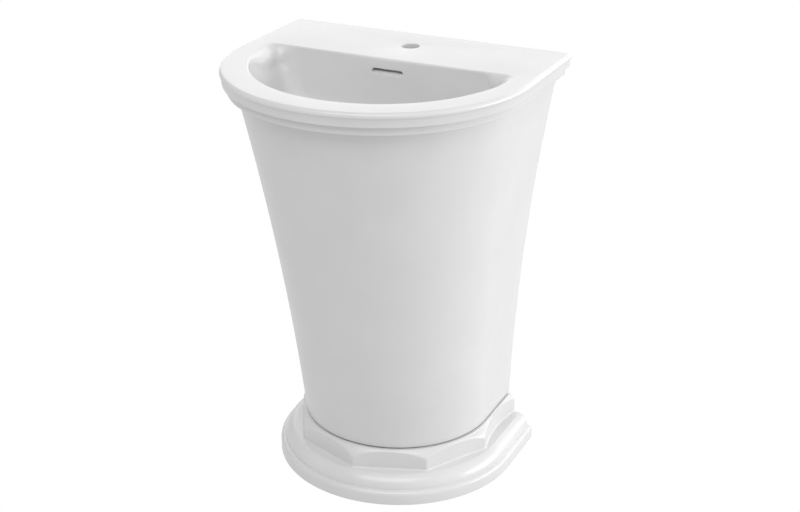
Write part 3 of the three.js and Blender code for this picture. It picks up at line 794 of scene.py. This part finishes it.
def side_curve(y):
    """Half width of the hollow curve along each side of the plinth, from its corner to the wall."""
    turn = math.radians(90 - 2 * FACET_TURN)
    corner_x = FACET_RADIUS * math.cos(turn)
    corner_y = -PLINTH_REACH - FACET_RADIUS * math.sin(turn)
    middle = (corner_x + SIDE_AT_WALL) / 2
    pull = 2 * (middle - SIDE_SAG) - middle
    share = y / corner_y
    return (1 - share) ** 2 * SIDE_AT_WALL + 2 * share * (1 - share) * pull + share**2 * corner_x


def facet_half(station):
    """How far out the facets are, along one station of the D."""
    share, across, out = station
    if share < 1:
        return side_curve(-PLINTH_REACH * share)
    turn = math.degrees(math.atan2(out, abs(across)))
    apothem = FACET_RADIUS * math.cos(math.radians(FACET_TURN / 2))
    distances = []
    for middle in (90 - 1.5 * FACET_TURN, 90 - 0.5 * FACET_TURN, 90 + 0.5 * FACET_TURN):
        distances.append(apothem / math.cos(math.radians(turn - middle)))
    if turn < SIDE_REGION:
        reach = FACET_RADIUS
        for _ in range(5):
            reach = side_curve(-PLINTH_REACH - reach * out) / abs(across)
        distances.append(reach)
    positive = sorted(d for d in distances if d > 0)
    return smooth_min(positive[0], positive[1], EDGE_BLEND)


def build_plinth():
    stations = d_stations(*PLINTH_STEPS)
    facets = [facet_half(station) for station in stations]
    rings = arc(PLINTH_HALF - FOOT_ROUND, FOOT_ROUND, FOOT_ROUND, -90, 0, 4)
    rings += arc(PLINTH_HALF - STEP_ROUND, STEP - STEP_ROUND, STEP_ROUND, 0, 90, 14)
    torus = arc(TORUS_HALF, TORUS_Z, TORUS_ROUND, TORUS_FROM, TORUS_TO, TORUS_STEPS)
    rings.append((torus[0][0] + SEAM_OUT, STEP + SEAM_UP))
    torus_start = len(rings)
    rings += torus

    ledge_end = torus[-1][0] - LEDGE_GAP
    for turn in QUARTER:
        out = LEDGE_ROUND * (1 - math.sin(turn))
        up = LEDGE_ROUND * (1 - math.cos(turn))
        rings.append(([min(facet + out, ledge_end) for facet in facets], LEDGE + up))
    flare_top = PLINTH_TOP - TOP_ROUND
    for i in range(1, FACET_LEVELS + 1):
        z = lerp(LEDGE + LEDGE_ROUND, flare_top, i / FACET_LEVELS)
        flare = FLARE_HALF + math.sqrt(FLARE_RADIUS**2 - (z - FLARE_Z) ** 2)
        rings.append(([smooth_min(flare, facet, EDGE_BLEND) for facet in facets], z))
    last = rings[-1][0]
    for out, up in arc(0, flare_top, TOP_ROUND, 30, 90, 2):
        rings.append(([half - (TOP_ROUND - out) for half in last], up))
    rings += PLINTH_INSIDE
    mesh = bmesh.new()
    rows = skin(mesh, [d_ring(stations, half, z, PLINTH_REACH) for half, z in rings], wrap=True)
    crease(mesh, rows[torus_start], rows[torus_start + TORUS_STEPS])
    cap_ends(mesh, rows)
    for node in ("floor_screw_left", "floor_screw_right"):
        centre = centre_of(node)
        add_lug(mesh, centre.x, centre.y - WALL_Y)
    finish_mesh(mesh, "glazed_plinth", "glaze", "pedestal_plinth", sharp=50)


def add_lug(mesh, x, y):
    """A flat lug inside the plinth, with a hole for a floor screw at x, y."""
    lug = bmesh.new()
    side = math.copysign(1, x)
    inner, outer = x - side * LUG_INWARD, side * LUG_OUTER
    front, back = y - LUG_HALF, y + LUG_HALF
    square = [(inner, front), (outer, front), (outer, back), (inner, back)]
    stacks = []
    for outline in (square, round_outline((x, y), SCREW_HOLE)):
        stacks.append([[(a, b, z) for a, b in outline] for z in (0.0, LUG_THICKNESS)])
    cut_plate(lug, stacks)
    join_in(mesh, lug)


def build_foot_seal():
    outer, bottom, top = seal_high.x, seal_low.z, seal_high.z
    profile = [
        (outer - SEAL_EDGE, bottom), (outer, bottom + SEAL_EDGE), (outer, top - SEAL_EDGE),
        (outer - SEAL_EDGE, top), (SEAL_INNER, top), (SEAL_INNER, bottom),
    ]
    mesh = bmesh.new()
    stations = d_stations(*SEAL_STEPS)
    rows = skin(mesh, [d_ring(stations, half, z, PLINTH_REACH) for half, z in profile], wrap=True)
    cap_ends(mesh, rows)
    finish_mesh(mesh, "column_foot_bead", "joint_seal", "column_foot_seal")


build_basin()
build_column()
build_plinth()
build_foot_seal()

# --- turned fittings ---


# Metres: how far from the cut and how far past the axis a point may be.
PLANE_SLACK = 2e-6
AXIS_SLACK = 1e-5
# Decimal places of a metre that points are matched to.
PLACES = 6


def meridian(node, axis, centre):
    """(radius, height) points of a turned CAD node, and whether they run right round.

    The cut is the half plane that faces the room, or the floor for a node that lies along Y.
    """
    mesh = bmesh.new()
    mesh.from_mesh(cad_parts[node].data)
    everything = mesh.verts[:] + mesh.edges[:] + mesh.faces[:]
    cut = bmesh.ops.bisect_plane(
        mesh, geom=everything, dist=PLANE_SLACK, plane_co=centre, plane_no=(1, 0, 0))
    edges = [item for item in cut["geom_cut"] if isinstance(item, bmesh.types.BMEdge)]
    links = {}
    for edge in edges:
        ends = []
        for vert in edge.verts:
            offset = vert.co - centre
            radius, height = (-offset.y, vert.co.z) if axis == "Z" else (-offset.z, vert.co.y)
            ends.append((round(radius, PLACES), round(height, PLACES)))
        if min(ends[0][0], ends[1][0]) > -AXIS_SLACK and ends[0] != ends[1]:
            links.setdefault(ends[0], set()).add(ends[1])
            links.setdefault(ends[1], set()).add(ends[0])
    mesh.free()
    tips = [point for point, near in links.items() if len(near) == 1]
    start = min(tips) if tips else max(links)
    chain, previous, current = [start], None, start
    while True:
        onward = [point for point in links[current] if point != previous]
        if not onward or onward[0] == start:
            break
        previous, current = current, onward[0]
        chain.append(current)
    return chain, not tips


# Bends in radians: less than the first isn't a corner, and more than the second is rounded finely.
SLIGHT_BEND = 0.02
FULL_BEND = 0.5
# A rounded corner takes up no more than this share of the sides next to it.
SIDE_SHARE = 0.45


def soften(points, closed, radius):
    """Rounds the corners of an outline over at most `radius`."""
    count = len(points)
    result = []
    for i, point in enumerate(points):
        if not closed and i in (0, count - 1):
            result.append(point)
            continue
        here = Vector(point)
        before = Vector(points[i - 1]) - here
        after = Vector(points[(i + 1) % count]) - here
        bend = math.pi - before.angle(after)
        if bend < SLIGHT_BEND:
            continue
        cut = min(radius, SIDE_SHARE * before.length, SIDE_SHARE * after.length)
        a = here + before.normalized() * cut
        b = here + after.normalized() * cut
        steps = 4 if bend > FULL_BEND else 2
        for k in range(steps + 1):
            share = k / steps
            mixed = a * (1 - share) ** 2 + here * 2 * share * (1 - share) + b * share**2
            result.append(tuple(mixed))
    return result


# One turn of a thread: (share of the pitch, share of the depth).
GROOVE = ((0.08, 0), (0.46, 1), (0.54, 1), (0.92, 0))


def threaded(points, pitch, depth):
    """Cuts a thread's grooves into the longest straight side of a rod's outline."""
    sides = [(Vector(b) - Vector(a)).length for a, b in zip(points, points[1:])]
    k = sides.index(max(sides))
    start, end = Vector(points[k]), Vector(points[k + 1])
    turns = int(sides[k] / pitch)
    grooves = []
    for i in range(turns):
        for part, cut in GROOVE:
            radius, height = start.lerp(end, (i + part) / turns)
            grooves.append((radius - cut * depth, height))
    return points[:k + 1] + grooves + points[k + 1:]


FLUTES = 24
FLUTE_DEPTH = 0.0009
# Flutes are cut where the radius is more than this share of the largest.
FLUTE_FROM = 0.9


def lathe(mesh, points, closed, axis, centre, fluted=False):
    """Turns an outline about its axis; a fluted one gets finger grips where it is widest."""
    widest = max(radius for radius, _ in points)
    steps = 2 * ROUND_STEPS if fluted else ROUND_STEPS
    rows = []
    for radius, height in points:
        row = []
        for turn in circle(steps):
            r = max(radius, 0.0)
            if fluted and radius > FLUTE_FROM * widest:
                r -= FLUTE_DEPTH * (0.5 - 0.5 * math.cos(FLUTES * turn)) ** 2
            a, b = r * math.cos(turn), r * math.sin(turn)
            if axis == "Z":
                row.append((centre.x + a, centre.y + b - WALL_Y, height))
            else:
                row.append((centre.x + a, height - WALL_Y, centre.z + b))
        rows.append(row)
    skin(mesh, rows, closed=True, wrap=closed)


FITTING_ROUND = 0.0006


def turn_again(node, slot_name, axis="Z", radius=FITTING_ROUND, body=BODY, thread=None, fluted=False):
    """Makes a finer copy of a turned CAD node, with softened corners."""
    centre = centre_of(node)
    points, closed = meridian(node, axis, centre)
    points = soften(points, closed, radius)
    if thread:
        points = threaded(points, *thread)
    mesh = bmesh.new()
    lathe(mesh, points, closed, axis, centre, fluted)
    finish_mesh(mesh, "fine_" + node, slot_name, node, body=body, sharp=40)


# The socket for the outlet pipe starts at this radius, within the trap body's wall.
TRAP_ROOT = 0.02975
COLLAR_END = 0.052


def build_trap_body():
    """The trap's turned body, with a socket on its wall side for the outlet pipe."""
    axis = centre_of("trap_cup")
    points, closed = meridian("trap_body", "Z", axis)
    mesh = bmesh.new()
    lathe(mesh, soften(points, closed, 0.002), closed, "Z", axis)
    height = centre_of("trap_outlet_pipe").z
    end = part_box("trap_body")[1].y - axis.y
    rows = []
    # Radius, and distance from the trap's axis; None follows the trap body's round wall.
    for radius, distance in (
        (0.0163, None), (0.0228, None), (0.0214, 0.0335), (0.0210, 0.037), (0.0210, COLLAR_END - 0.0006),
        (0.0204, COLLAR_END), (0.0199, COLLAR_END), (0.0195, COLLAR_END + 0.0004),
        (0.0195, end - 0.0006), (0.0189, end), (0.0168, end), (0.0163, end - 0.0005),
    ):
        row = []
        for turn in circle(ROUND_STEPS):
            x = radius * math.cos(turn)
            out = math.sqrt(TRAP_ROOT**2 - x * x) if distance is None else distance
            row.append((axis.x + x, axis.y + out - WALL_Y, height + radius * math.sin(turn)))
        rows.append(row)
    skin(mesh, rows, closed=True, wrap=True)
    finish_mesh(mesh, "fine_trap_body", "chrome", "trap_body", sharp=40)


turn_again("plug_cap", "chrome", radius=0.004, body="plug")
turn_again("plug_seal", "rubber", radius=0.0004, body="plug")
turn_again("plug_stem", "brass", radius=0.0005, body="plug")
for upright, slot_name in (
    ("waste_upper_seal", "rubber"),
    ("waste_lower_gasket", "rubber"),
    ("waste_friction_washer", "white_plastic"),
    ("click_cartridge", "brass"),
    ("trap_inlet_washer", "rubber"),
    ("trap_inlet_tube", "chrome"),
    ("trap_top_washer", "rubber"),
    ("trap_cup_seal", "rubber"),
    ("floor_screw_left", "steel"),
    ("floor_screw_right", "steel"),
    ("floor_washer_left", "white_plastic"),
    ("floor_washer_right", "white_plastic"),
    ("floor_screw_cap_left", "white_plastic"),
    ("floor_screw_cap_right", "white_plastic"),
):
    turn_again(upright, slot_name)
turn_again("waste_body", "chrome", radius=0.0012)
turn_again("trap_cup", "chrome", radius=0.004)
turn_again("trap_inlet_nut", "chrome", radius=0.001, fluted=True)
turn_again("trap_top_nut", "chrome", radius=0.001, fluted=True)
turn_again("trap_outlet_nut", "chrome", axis="Y", radius=0.001, fluted=True)
for lying, slot_name in (
    ("trap_outlet_washer", "rubber"),
    ("trap_outlet_pipe", "chrome"),
    ("trap_wall_flange", "chrome"),
    ("wall_bush_left", "white_plastic"),
    ("wall_bush_right", "white_plastic"),
    ("wall_washer_left", "steel"),
    ("wall_washer_right", "steel"),
):
    turn_again(lying, slot_name, axis="Y")
for bolt in ("wall_bolt_left", "wall_bolt_right"):
    turn_again(bolt, "steel", axis="Y", thread=(0.0015, 0.0008))
build_trap_body()

# --- CAD nodes that keep their shape ---

for name, material in (
    ("plug_guide", BRASS),
    ("waste_locknut", BRASS),
    ("wall_nut_left", STEEL),
    ("wall_nut_right", STEEL),
    ("basin_seat_pad_left", RUBBER),
    ("basin_seat_pad_right", RUBBER),
    ("basin_seat_pad_front", RUBBER),
):
    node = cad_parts[name]
    node.data.materials.clear()
    node.data.materials.append(material)
    bevel = node.modifiers.new("softened_edges", "BEVEL")
    bevel.width = FITTING_ROUND
    bevel.segments = 3
    bevel.limit_method = "ANGLE"
    bevel.angle_limit = math.radians(35)
    bevel.harden_normals = True

# --- floor and light ---

FLOOR_SIZE = 30
# The floor shows as plain white to the camera, and gives the sink a little less light than that.
FLOOR_SEEN = 1.0
FLOOR_LIGHT = 0.8
WORLD_STRENGTH = 0.53
LIGHT_DISTANCE = 8.0
LIGHT_AIM = Vector((0, 0, 0.45))


def build_floor():
    mesh = bmesh.new()
    for x, y in ((-1, -1), (1, -1), (1, 1), (-1, 1)):
        mesh.verts.new((x * FLOOR_SIZE, y * FLOOR_SIZE, 0))
    mesh.faces.new(mesh.verts)
    data = bpy.data.meshes.new("floor")
    mesh.to_mesh(data)
    mesh.free()
    floor = bpy.data.objects.new("floor", data)
    material = bpy.data.materials.new("pale_floor")
    material.use_nodes = True
    tree = material.node_tree
    tree.nodes.remove(tree.nodes["Principled BSDF"])
    glow = add_node(tree, "ShaderNodeEmission", Color=(1, 1, 1, 1))
    ray = add_node(tree, "ShaderNodeLightPath")
    strength = add_node(tree, "ShaderNodeMapRange", To_Min=FLOOR_LIGHT, To_Max=FLOOR_SEEN)
    tree.links.new(ray.outputs["Is Camera Ray"], strength.inputs["Value"])
    tree.links.new(strength.outputs["Result"], glow.inputs["Strength"])
    tree.links.new(glow.outputs["Emission"], tree.nodes["Material Output"].inputs["Surface"])
    data.materials.append(material)
    bpy.context.scene.collection.objects.link(floor)


def add_area_light(name, azimuth, elevation, width, height, strength):
    """A softbox aimed at the middle of the sink, from degrees round to the right and degrees up."""
    light = bpy.data.lights.new(name, "AREA")
    light.shape = "RECTANGLE"
    light.size = width
    light.size_y = height
    light.energy = strength
    lamp = bpy.data.objects.new(name, light)
    around, up = math.radians(azimuth), math.radians(elevation)
    way = Vector((math.cos(up) * math.sin(around), -math.cos(up) * math.cos(around), math.sin(up)))
    lamp.location = LIGHT_AIM + way * LIGHT_DISTANCE
    lamp.rotation_euler = way.to_track_quat("Z", "Y").to_euler()
    bpy.context.scene.collection.objects.link(lamp)


build_floor()
world = bpy.data.worlds.new("studio")
world.use_nodes = True
set_inputs(world.node_tree.nodes["Background"], {"Color": (1, 1, 1, 1), "Strength": WORLD_STRENGTH})
bpy.context.scene.world = world
add_area_light("right_softbox", 110, 8, 5.0, 3.5, 360)
add_area_light("right_back_softbox", 147, 10, 5.0, 4.5, 137)
add_area_light("right_front_softbox", 70, 35, 6.4, 6.0, 35)
add_area_light("front_softbox", 10, 58, 6.4, 5.0, 300)
add_area_light("left_back_softbox", -150, 20, 6.4, 6.0, 125)
add_area_light("back_softbox", 176, 30, 3.5, 2.5, 40)
bpy.context.scene.view_settings.view_transform = "Standard"
